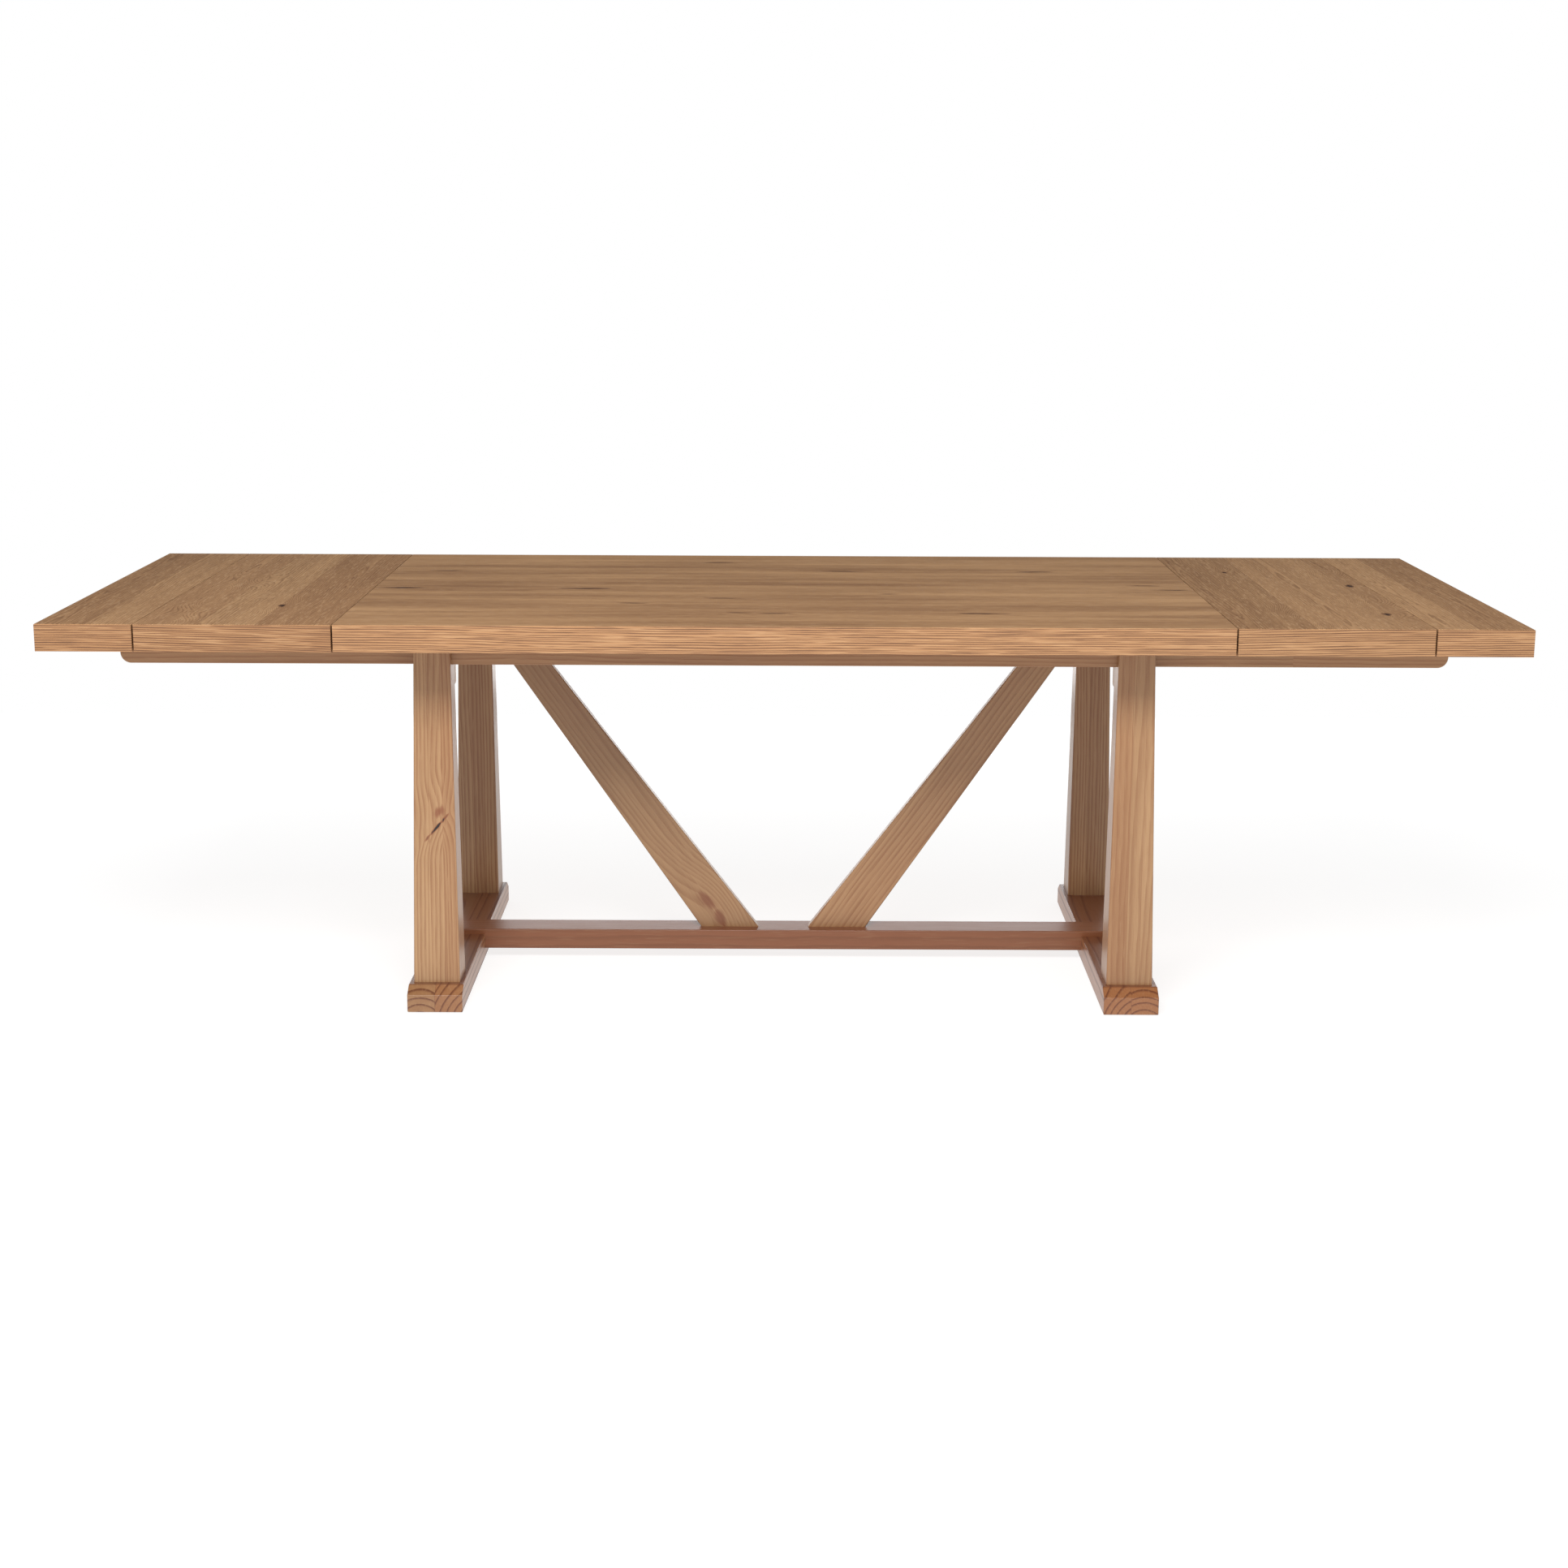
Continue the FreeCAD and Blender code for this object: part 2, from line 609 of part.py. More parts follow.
def build_main_top(screws, leg_screws):
    """Fixed part of the top with the boards that stiffen it."""
    edge = front_edge(EDGE_SHORTFALL - main_x, main_x - EDGE_SHORTFALL)
    save("main_panel", drilled(panel(-main_x, main_x), screws))
    save("main_edge_front", edge)
    save("main_edge_back", back_of(edge))
    save("main_batten_middle", drilled(batten(-BATTEN_WIDTH / 2, BATTEN_WIDTH), screws))
    end_batten = drilled(batten(main_x - BATTEN_WIDTH, BATTEN_WIDTH), screws)
    save("main_batten_right", end_batten)
    save("main_batten_left", left_of(end_batten))
    head_rail = batten(leg_top_x - HEAD_RAIL_WIDTH / 2, HEAD_RAIL_WIDTH)
    head_rail = drilled(head_rail, screws + leg_screws)
    save("head_rail_right", head_rail)
    save("head_rail_left", left_of(head_rail))


def build_base(screws, leg_screws, dowels, bolts):
    """Trestles, stretcher, braces and the rails that carry the top."""
    plain_leg = leg()
    right_leg = drilled(plain_leg, screws + leg_screws + dowels + bolts)
    legs = four_of(right_leg)
    names = ("leg_front_right", "leg_front_left", "leg_back_right", "leg_back_left")
    for name, solid in zip(names, legs):
        save(name, solid)

    right_foot = drilled(foot(), screws + bolts)
    save("foot_right", right_foot)
    save("foot_left", left_of(right_foot))
    save("foot_glides", *four_of(glide()))
    save("stretcher", drilled(stretcher(), screws))
    right_brace = drilled(brace(), screws)
    save("brace_right", right_brace)
    save("brace_left", left_of(right_brace))

    right_beam = drilled(cross_beam(), screws + dowels)
    save("cross_beam_right", right_beam)
    save("cross_beam_left", left_of(right_beam))
    save("spine", drilled(spine(), screws + dowels))
    mid_rail = drilled(front_mid_rail([plain_leg, left_of(plain_leg)]), dowels)
    save("mid_rail_front", mid_rail)
    save("mid_rail_back", back_of(mid_rail))

    front_guide = drilled(guide(plain_leg), screws)
    save("slide_guides_right", front_guide, back_of(front_guide))
    save("slide_guides_left", left_of(front_guide), left_of(back_of(front_guide)))


def build_leaves():
    """The two loose leaves, each a panel with strips at its ends and two battens."""
    edge = front_edge(leaf_in + EDGE_SHORTFALL, leaf_out - EDGE_SHORTFALL)
    pieces = {
        "panel": panel(leaf_in, leaf_out),
        "edge_front": edge,
        "edge_back": back_of(edge),
        "batten_inner": batten(leaf_in, LEAF_BATTEN_WIDTH),
        "batten_outer": batten(leaf_out - LEAF_BATTEN_WIDTH, LEAF_BATTEN_WIDTH),
    }
    for name, solid in pieces.items():
        save(f"right_leaf_{name}", solid)
        save(f"left_leaf_{name}", left_of(solid))


def build_ends():
    """The two sliding ends: panel, strips, rail, two slides and their tie."""
    screws = end_screws()
    front_pin = stop_pin()
    pins = [front_pin, front_pin.moved(back_of)]
    front_slide = drilled(slide(), screws + [front_pin])
    edge = end_front_edge()
    pieces = {
        "end_panel": drilled(end_panel(), screws),
        "end_edge_front": edge,
        "end_edge_back": back_of(edge),
        "end_edge_outer": end_outer_edge(),
        "end_rail": drilled(batten(end_in, BATTEN_WIDTH, slide_top), screws),
        "slide_front": front_slide,
        "slide_back": back_of(front_slide),
        "slide_tie": drilled(slide_tie(), screws),
    }
    for name, solid in pieces.items():
        save(f"right_{name}", solid)
        save(f"left_{name}", left_of(solid))
    save_fasteners("right_end_screws", screws)
    save_fasteners("left_end_screws", [each.moved(left_of) for each in screws])
    save_fasteners("right_stop_pins", pins)
    save_fasteners("left_stop_pins", [each.moved(left_of) for each in pins])


def build():
    """Write every piece of the table."""
    os.makedirs("parts", exist_ok=True)
    screws = main_screws()
    leg_screws = all_four([leg_screw(-leg_top_y + offset)
                           for offset in (-LEG_SCREW_SPREAD, LEG_SCREW_SPREAD)])
    bolts = all_four([bolt(trestle_x + offset) for offset in (-BOLT_SPREAD, BOLT_SPREAD)])
    dowels = frame_dowels()
    build_main_top(screws, leg_screws)
    build_base(screws, leg_screws, dowels, bolts)
    build_leaves()
    build_ends()
    save_fasteners("main_screws", screws)
    save_fasteners("leg_screws", leg_screws)
    save_fasteners("foot_bolts", bolts)
    save_fasteners("frame_dowels", dowels)


build()
print(f"table {2 * end_out:.1f} x {TABLE_DEPTH:.1f} x {TABLE_HEIGHT:.1f} mm, opened out")
print(f"slide {slide_nose_x - slide_tail_x:.1f} mm long, tails {slide_tail_x:.1f} mm from the middle")
print(f"{len(os.listdir('parts'))} pieces and groups written")
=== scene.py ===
# %% [markdown]
# # A trestle table that opens out
#
# The table is long, built of oak over a pine base.  Its top has five parts: a fixed
# middle panel, a loose leaf at each side of it, and two ends that slide out on wooden
# rails.  The shape of every board is already settled in the frame that is loaded here,
# so this lesson is mostly about wood: how one idea of growth rings, drawn through the
# whole board and not just on its skin, gives long grain, flame figure and end grain.

# %% Load the frame
import math
import bpy
import bmesh
from mathutils import Matrix, Vector


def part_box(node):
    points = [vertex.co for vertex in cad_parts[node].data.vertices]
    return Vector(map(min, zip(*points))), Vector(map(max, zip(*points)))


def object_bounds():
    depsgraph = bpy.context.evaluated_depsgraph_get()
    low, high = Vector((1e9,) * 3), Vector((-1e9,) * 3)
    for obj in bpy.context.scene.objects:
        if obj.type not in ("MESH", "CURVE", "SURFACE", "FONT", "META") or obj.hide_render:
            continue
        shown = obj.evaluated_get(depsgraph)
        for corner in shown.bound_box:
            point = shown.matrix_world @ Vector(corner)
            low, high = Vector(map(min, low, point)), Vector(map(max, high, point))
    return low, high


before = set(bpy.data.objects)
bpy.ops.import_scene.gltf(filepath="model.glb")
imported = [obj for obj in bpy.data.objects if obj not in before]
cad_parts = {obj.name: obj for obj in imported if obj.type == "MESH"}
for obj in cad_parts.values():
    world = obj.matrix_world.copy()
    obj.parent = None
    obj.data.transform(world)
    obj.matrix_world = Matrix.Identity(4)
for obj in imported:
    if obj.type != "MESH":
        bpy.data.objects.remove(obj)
frame_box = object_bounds()

# %% [markdown]
# ## Where the eye stands
#
# The camera stands well back and a little above the top, as a person across the room
# would.  A long lens from far away keeps the two trestles the same size.  The angles are
# kept as turns about the table's own axes and multiplied together, which is easier to
# reason about than three Euler numbers read off a viewport.

# %% Camera
EYE = Vector((-0.0036, -4.9429, 1.4528))
EYE_TURN = -0.0008
EYE_TILT = -0.2176
EYE_ROLL = -0.0042
LENS_PER_SENSOR = 3063.0 / 1932
SENSOR = 36.0

camera_data = bpy.data.cameras.new("camera")
camera_data.sensor_width = SENSOR
camera_data.lens = LENS_PER_SENSOR * SENSOR
camera_data.clip_end = 60.0
camera = bpy.data.objects.new("camera", camera_data)
bpy.context.scene.collection.objects.link(camera)
looking = (Matrix.Rotation(EYE_TURN, 3, "Z") @ Matrix.Rotation(EYE_TILT, 3, "X")
           @ Matrix.Rotation(EYE_ROLL, 3, "Y") @ Matrix.Rotation(math.pi / 2, 3, "X"))
camera.matrix_world = Matrix.Translation(EYE) @ looking.to_4x4()
bpy.context.scene.camera = camera
print("lens", round(camera_data.lens, 1), "mm")

# %% [markdown]
# ## A white studio
#
# Furniture is shown in a white room.  Most of the light comes from one large soft lamp
# in front and above, which throws the shadow of the overhanging top on the upper legs.
# The room itself is bright in front and overhead and dim at the back, so that the flat
# top doesn't mirror a white wall and keeps its colour.  A low strip of light behind the
# table gives the lacquered base its pale sheen.  The eye sees plain white behind it all.

# %% Floor
FLOOR_WIDTH, FLOOR_FRONT, FLOOR_BACK = 24.0, -12.0, 2.6

floor_mesh = bpy.data.meshes.new("studio_floor")
floor_shape = bmesh.new()
bmesh.ops.create_grid(floor_shape, x_segments=1, y_segments=1, size=0.5)
for corner in floor_shape.verts:
    corner.co.x *= FLOOR_WIDTH
    corner.co.y = FLOOR_FRONT if corner.co.y < 0 else FLOOR_BACK
floor_shape.to_mesh(floor_mesh)
floor_shape.free()
floor = bpy.data.objects.new("studio_floor", floor_mesh)
bpy.context.scene.collection.objects.link(floor)
print("floor", FLOOR_WIDTH, "m wide")

# %% [markdown]
# ## Two soft lamps
#
# An area lamp gives soft shadows, and the larger it is the softer they are.  Each lamp
# is placed by where it stands and what it looks at, and its own shape is hidden from the
# camera, so only its light and its reflection are seen.

# %% Lamps
FRONT_LAMP = {"place": (-0.3, -3.1, 3.0), "aim": (0, 0, 0.5),
              "width": 2.2, "height": 1.1, "power": 118.0}
LOW_BACK_STRIP = {"place": (0, 2.6, 0.45), "aim": (0, 0, 0.35),
                  "width": 5.0, "height": 0.7, "power": 30.0}


def soft_lamp(name, place, aim, width, height, power):
    """A rectangular lamp that the camera itself doesn't see."""
    data = bpy.data.lights.new(name, "AREA")
    data.shape = "RECTANGLE"
    data.size, data.size_y, data.energy = width, height, power
    lamp = bpy.data.objects.new(name, data)
    lamp.location = place
    lamp.rotation_euler = (Vector(aim) - Vector(place)).to_track_quat("-Z", "Y").to_euler()
    lamp.visible_camera = False
    bpy.context.scene.collection.objects.link(lamp)


soft_lamp("front_lamp", **FRONT_LAMP)
soft_lamp("low_back_strip", **LOW_BACK_STRIP)

# %% [markdown]
# ## The room itself
#
# The world's strength follows the direction that light comes from: the scalar product
# with a direction that points up and to the front runs from bright to dim, and a Light
# Path node shows plain white to the camera instead.

# %% The room
ROOM_DIM, ROOM_BRIGHT = 0.06, 0.62
ROOM_FRONT = (0.0, -0.6, 0.8)
DIM_FROM, BRIGHT_FROM = -0.4, 0.6

world = bpy.data.worlds.new("white_room")
world.use_nodes = True
room = world.node_tree
direction = room.nodes.new("ShaderNodeTexCoord").outputs["Generated"]
facing = room.nodes.new("ShaderNodeVectorMath")
facing.operation = "DOT_PRODUCT"
facing.inputs[1].default_value = ROOM_FRONT
room.links.new(direction, facing.inputs[0])
shade = room.nodes.new("ShaderNodeMapRange")
for key, value in (("From Min", DIM_FROM), ("From Max", BRIGHT_FROM),
                   ("To Min", ROOM_DIM), ("To Max", ROOM_BRIGHT)):
    shade.inputs[key].default_value = value
room.links.new(facing.outputs["Value"], shade.inputs["Value"])
seen = room.nodes.new("ShaderNodeLightPath").outputs["Is Camera Ray"]
white = room.nodes.new("ShaderNodeMath")
white.operation = "MAXIMUM"
room.links.new(shade.outputs["Result"], white.inputs[0])
room.links.new(seen, white.inputs[1])
room.links.new(white.outputs[0], room.nodes["Background"].inputs["Strength"])
room.nodes["Background"].inputs["Color"].default_value = (1, 1, 1, 1)
bpy.context.scene.world = world
bpy.context.scene.view_settings.view_transform = "Standard"
print("room between", ROOM_DIM, "and", ROOM_BRIGHT)

# %% [markdown]
# ## A small kit for finishes
#
# A material is a tree of nodes.  Written out one by one such trees are long and hard to
# follow, so this class adds a node and returns its result, and a finish can then be
# written like a sum.  Colours and numbers that are the same all over a surface are set
# on the shader itself; only what varies over the wood is linked to it.

# %% The finish kit
class Finish:
    """One material, built by calls that each add a node and return its result."""

    def __init__(self, name):
        self.material = bpy.data.materials.new(name)
        self.material.use_nodes = True
        self.tree = self.material.node_tree
        self.shader = self.tree.nodes["Principled BSDF"]

    def add(self, kind, inputs, result=0, **settings):
        node = self.tree.nodes.new(kind)
        for key, value in settings.items():
            setattr(node, key, value)
        for key, value in inputs.items():
            if isinstance(value, bpy.types.NodeSocket):
                self.tree.links.new(value, node.inputs[key])
            else:
                node.inputs[key].default_value = value
        return node.outputs[result]

    def place(self):
        """Where a point is on the table, in metres, at rest."""
        return self.add("ShaderNodeTexCoord", {}, "Object")

    def sum(self, operation, first, second=0.0, third=0.0):
        return self.add("ShaderNodeMath", {0: first, 1: second, 2: third}, operation=operation)

    def split(self, vector):
        node = self.add("ShaderNodeSeparateXYZ", {0: vector}).node
        return [node.outputs[axis] for axis in "XYZ"]

    def join(self, x, y, z):
        return self.add("ShaderNodeCombineXYZ", {0: x, 1: y, 2: z})

    def noise(self, vector, scale=1.0, detail=2.0, roughness=0.5):
        inputs = {"Vector": vector, "Scale": scale, "Detail": detail, "Roughness": roughness}
        return self.add("ShaderNodeTexNoise", inputs, "Fac")

    def chance(self, number):
        """Three random numbers that stay the same for one value of number."""
        colour = self.add("ShaderNodeTexWhiteNoise", {"W": number}, "Color", noise_dimensions="1D")
        return self.split(colour)

    def between(self, value, low, high, start=0.0, end=1.0):
        """start at low, end at high, and a smooth change from one to the other."""
        inputs = {"Value": value, "From Min": low, "From Max": high, "To Min": start, "To Max": end}
        return self.add("ShaderNodeMapRange", inputs, interpolation_type="SMOOTHSTEP")

    def mix(self, share, first, second):
        """A colour between two others; a share of 0 is the first and 1 the second."""
        node = self.tree.nodes.new("ShaderNodeMix")
        node.data_type = "RGBA"
        for key, value in ((0, share), (6, first), (7, second)):
            if isinstance(value, bpy.types.NodeSocket):
                self.tree.links.new(value, node.inputs[key])
            else:
                node.inputs[key].default_value = value
        return node.outputs[2]

    def colour(self, result):
        self.tree.links.new(result, self.shader.inputs["Base Color"])

    def rough(self, result):
        self.tree.links.new(result, self.shader.inputs["Roughness"])

    def bump(self, height, distance):
        normal = self.add("ShaderNodeBump", {"Height": height, "Distance": distance}, "Normal")
        self.tree.links.new(normal, self.shader.inputs["Normal"])

    def lacquer(self, coat, coat_roughness):
        self.shader.inputs["Coat Weight"].default_value = coat
        self.shader.inputs["Coat Roughness"].default_value = coat_roughness


def rgb(red, green, blue):
    """A paint-chart colour, 0 to 255, as the linear numbers that a shader works in."""
    linear = [((v / 255 + 0.055) / 1.055) ** 2.4 for v in (red, green, blue)]
    return (*linear, 1.0)


print("finish kit ready")

# %% [markdown]
# ## Growth rings
#
# A tree grows a ring a year round its pith, so a board is a slice of nested cones.  If a
# material measures how far each point is from a wandering pith line, and lays a dark
# line once a ring, then every face is right by itself: straight lines where the board is
# cut across the rings, flames where it is cut along them, and arcs on its ends.  Knots
# push the rings aside.  Boards that are glued side by side get a pith each, chosen by
# the number of the board, which is found by counting the glue lines that lie before it.

# %% Boards, piths and rings
def turned_to_grain(finish, order, lean=0.0):
    """The place with its first number along the grain, then across it, then into it."""
    place = finish.place()
    if lean:
        place = finish.add("ShaderNodeVectorRotate", {"Vector": place, "Angle": lean},
                           rotation_type="Y_AXIS")
    parts = dict(zip("XYZ", finish.split(place)))
    return [parts[axis] for axis in order]


def stepped(finish, across, lines, values):
    """One value for each board: it changes where a glue line is passed."""
    result = values[0]
    for line, before, after in zip(lines, values, values[1:]):
        is_past = finish.sum("GREATER_THAN", across, line)
        result = finish.sum("MULTIPLY_ADD", is_past, after - before, result)
    return result


def glue_distance(finish, across, lines):
    """How far a point is from the nearest glue line."""
    nearest = 1.0
    for line in lines:
        apart = finish.sum("ABSOLUTE", finish.sum("SUBTRACT", across, line))
        nearest = finish.sum("MINIMUM", apart, nearest)
    return nearest


def knot_field(finish, along, across, knots, ragged, force):
    """(how much the knots push the rings aside, how deep inside a knot a point is).

    A knot is its place along and across, its size, how much it is drawn out along the
    grain, how it slants, and how dark its heart is.
    """
    push, inside = 0.0, 0.0
    for knot_along, knot_across, size, squash, slant, dark in knots:
        gone_along = finish.sum("SUBTRACT", along, knot_along)
        gone_across = finish.sum("SUBTRACT", across, knot_across)
        gone_across = finish.sum("MULTIPLY_ADD", gone_along, -slant, gone_across)
        gone_along = finish.sum("MULTIPLY", gone_along, squash)
        apart = finish.sum("SQRT", finish.sum("MULTIPLY_ADD", gone_along, gone_along,
                                              finish.sum("MULTIPLY", gone_across, gone_across)))
        push = finish.sum("ADD", push, finish.between(apart, size * 6, 0.0, 0.0, size * force))
        if dark > 0:
            torn = finish.sum("MULTIPLY_ADD", ragged, size * 1.6, apart)
            inside = finish.sum("MAXIMUM", inside, finish.between(torn, size * 1.9, size, 0.0, dark))
    return push, inside


def stretched(finish, grain, along, across):
    """A place for a noise that is drawn out along the grain, in steps per metre."""
    return finish.join(finish.sum("MULTIPLY", grain[0], along), finish.sum("MULTIPLY", grain[1], across),
                       finish.sum("MULTIPLY", grain[2], across))


# Steps per metre, along and across the grain, of each noise.
FIBRE_STEPS, STREAK_STEPS, CLOUD_STEPS = (14.0, 330.0), (1.6, 30.0), (1.5, 9.0)
TEAR_ACROSS, DASH_ACROSS = 130.0, 300.0
PLACES_APART, JOINT_JUMP = 9.0, 5.0
UNEVEN_EVERY, UNEVEN_YEARS = 0.31, 1.6
PLAIN_CUT = {"glue_lines": (), "knots": (), "force": 3.2, "octaves": 3.0, "tear": 22.0, "dash": 34.0}


def ring_pattern(finish, grain, cut, seed=0.0):
    """Everything that a wood finish is mixed from, as a dictionary of results.

    grain is (along, across, into); cut holds the sizes of this kind of wood and board:
    start and end across, wave (bends per metre), wander and pith_spread (how far the pith
    strays), piths (one for each board), flame, pith_into, ring (width of a year), ragged,
    late_from (where in a year the dark line begins), and whatever PLAIN_CUT names.
    """
    cut = {**PLAIN_CUT, **cut}
    along, across, into = grain
    lines = cut["glue_lines"]
    edges = [cut["start"], *lines, cut["end"]]
    number = stepped(finish, across, lines, range(len(edges) - 1))
    if "joint" in cut:
        past_joint = finish.sum("GREATER_THAN", along, cut["joint"])
        number = finish.sum("MULTIPLY_ADD", past_joint, JOINT_JUMP, number)
    middle = stepped(finish, across, lines, [(low + high) / 2 for low, high in zip(edges, edges[1:])])
    from_middle = finish.sum("SUBTRACT", across, middle)
    first, second, third = finish.chance(finish.sum("ADD", number, seed))
    tone = stepped(finish, across, lines, cut["tones"]) if "tones" in cut else third
    own = (finish.sum("MULTIPLY_ADD", first, PLACES_APART, along), across, into)
    ragged = finish.noise(stretched(finish, own, cut["tear"], TEAR_ACROSS), 1.0, 3.0, 0.6)
    push, inside = knot_field(finish, along, across, cut["knots"], ragged, cut["force"])

    wave = cut["wave"]
    slow = finish.join(finish.sum("MULTIPLY", own[0], wave),
                       finish.sum("MULTIPLY", from_middle, wave * 3), first)
    wander = finish.noise(slow, 1.0, cut["octaves"], 0.55)
    slower = finish.join(finish.sum("MULTIPLY", own[0], wave * 0.6), second, 4.0)
    drift = finish.noise(slower, 1.0, 2.0, 0.5)
    swing = finish.sum("MULTIPLY_ADD", wander, cut["wander"], -cut["wander"] / 2)
    pith_across = finish.sum("MULTIPLY_ADD", second, cut["pith_spread"],
                             stepped(finish, across, lines, cut["piths"]))
    pith_into = finish.sum("MULTIPLY_ADD", drift, cut["flame"], cut["pith_into"])
    out_across = finish.sum("ADD", finish.sum("SUBTRACT", from_middle, pith_across), swing)
    out_into = finish.sum("ADD", into, pith_into)
    radius = finish.sum("SQRT", finish.sum("MULTIPLY_ADD", out_across, out_across,
                                           finish.sum("MULTIPLY", out_into, out_into)))
    radius = finish.sum("ADD", radius, push)
    years = finish.sum("DIVIDE", radius, cut["ring"])
    years = finish.sum("MULTIPLY_ADD", ragged, cut["ragged"], years)
    uneven = finish.noise(finish.join(finish.sum("MULTIPLY", years, UNEVEN_EVERY), third, 2.0), 1.0, 1.0)
    years = finish.sum("MULTIPLY_ADD", uneven, UNEVEN_YEARS, years)
    part = finish.sum("FRACT", years)
    late = finish.sum("MULTIPLY", finish.between(part, cut["late_from"], 0.9),
                      finish.between(part, 1.0, 0.94))

    fibre = finish.noise(stretched(finish, own, *FIBRE_STEPS), 1.0, 3.0, 0.65)
    dashes = finish.noise(stretched(finish, own, cut["dash"], DASH_ACROSS), 1.0, 2.0, 0.5)
    streak = finish.noise(stretched(finish, own, *STREAK_STEPS), 1.0, 4.0, 0.6)
    cloud = finish.noise(stretched(finish, own, *CLOUD_STEPS), 1.0, 2.0, 0.5)
    return {"late": late, "part": part, "fibre": fibre, "dashes": dashes, "streak": streak,
            "cloud": cloud, "knot": inside, "tone": tone, "warm": second,
            "glue": glue_distance(finish, across, lines)}


GLUE_WIDTH = 0.0008
KNOT_HEART_FROM = 0.45


def mixed_wood(finish, pattern, look, painted_shade=0.0):
    """Colours, roughness and relief of a wood from its ring pattern; the last argument darkens it as
    painted shade.
    """
    light = 0.5
    for share, amount in (("streak", "streaks"), ("cloud", "clouds"),
                          ("tone", "boards"), ("fibre", "fibres")):
        light = finish.sum("ADD", light, finish.sum("MULTIPLY_ADD", pattern[share], look[amount],
                                                    -look[amount] / 2))
    light = finish.sum("MULTIPLY_ADD", pattern["part"], -look["shade"],
                       finish.sum("ADD", light, look["shade"] / 2))
    light = finish.sum("MINIMUM", finish.sum("MAXIMUM", light, 0.0), 1.0)
    wood = finish.mix(light, look["deep"], look["pale"])
    wood = finish.mix(finish.sum("MULTIPLY", pattern["warm"], look["warmth"]), wood, look["red"])
    broken = finish.between(pattern["dashes"], 0.36, 0.56, look["unbroken"], 1.0)
    line = finish.sum("MULTIPLY", finish.sum("MULTIPLY", pattern["late"], broken), look["lines"])
    wood = finish.mix(line, wood, look["line"])
    fleck = finish.between(pattern["dashes"], 0.44, 0.34, 0.0, look["flecks"])
    wood = finish.mix(fleck, wood, look["fleck"])
    pore = finish.between(pattern["dashes"], 0.6, 0.7, 0.0, look["pores"])
    wood = finish.mix(pore, wood, look["line"])
    heart = finish.between(pattern["knot"], KNOT_HEART_FROM, 1.0)
    rim = finish.between(pattern["knot"], 0.0, KNOT_HEART_FROM, 0.0, 0.75)
    wood = finish.mix(rim, wood, look["knot_rim"])
    wood = finish.mix(heart, wood, look["knot_heart"])
    glue = finish.between(pattern["glue"], GLUE_WIDTH, 0.0, 0.0, look["glue"])
    wood = finish.mix(glue, wood, look["line"])
    # The last mix darkens the wood as painted shade where the caller asks for it.
    finish.colour(finish.mix(painted_shade, wood, look["line"]))
    rough = finish.sum("MULTIPLY_ADD", pattern["fibre"], 0.2, look["rough"] - 0.1)
    finish.rough(finish.sum("MULTIPLY_ADD", line, 0.1, rough))
    relief = finish.sum("MULTIPLY_ADD", line, -0.5, finish.sum("MULTIPLY", pattern["fibre"], 0.35))
    relief = finish.sum("MULTIPLY_ADD", pore, -0.4, relief)
    finish.bump(finish.sum("MULTIPLY_ADD", heart, -0.8, relief), look["relief"])


print("ring pattern ready")

# %% [markdown]
# ## Oak for the top
#
# Oak has a porous line at the start of each year and long brown rays of pores between.
# The panels are flat sawn, so the pith lies a little below the surface and drifts, which
# draws flames.  The edge strips are sawn the other way: the pith is far off and their
# faces show close straight lines.  The look of each wood is a dictionary of plain words,
# so that the same rings can be made into oak or pine by a different set of colours.

# %% Oak looks
PANEL_OAK = {
    "pale": rgb(196, 154, 111), "deep": rgb(134, 97, 66), "red": rgb(166, 114, 78),
    "line": rgb(108, 73, 48), "fleck": rgb(214, 178, 138), "knot_rim": rgb(118, 80, 53),
    "knot_heart": rgb(56, 36, 26), "streaks": 0.65, "clouds": 0.35, "boards": 0.62, "fibres": 0.7,
    "shade": 0.22, "warmth": 0.2, "lines": 0.46, "unbroken": 0.45, "flecks": 0.28, "pores": 0.3,
    "glue": 0.45, "rough": 0.46, "relief": 0.00025,
}
MAIN_OAK = dict(PANEL_OAK, lines=0.26, shade=0.12, flecks=0.2, streaks=1.2, clouds=1.4, boards=0.0,
                warmth=0.1, glue=0.0, fibres=0.5, knot_rim=rgb(92, 60, 42))
STRIP_OAK = dict(PANEL_OAK, pale=rgb(196, 149, 103), deep=rgb(150, 105, 66), red=rgb(172, 114, 74),
                 line=rgb(88, 53, 32), fleck=rgb(214, 170, 124), lines=0.9, unbroken=0.5, flecks=0.3,
                 pores=0.35, shade=0.3, glue=0.0, boards=0.6, streaks=0.5, clouds=0.3, fibres=0.5)
print("oak looks:", len(PANEL_OAK), "words each")

# %% [markdown]
# ## Sawing the oak
#
# A finish function takes a look and a cut, and gives back a material.  A thin line along
# the far arris of the top is darkened as painted shade, where the arris turns from the
# light.  The lacquer on the panels is almost matt, so their specular level is kept low.

# %% Oak panels and strips
# The far arris of the top gets a thin darker band of painted shade.
EDGE_EASING, FAR_SHADE_WIDTH = 0.001, 0.0015
SHADED_FAR_EDGE = frame_box[1][1] - EDGE_EASING
MATT_SPECULAR = 0.18
TOP_LEVEL = frame_box[1][2]
STRIP_HEIGHT = 0.050


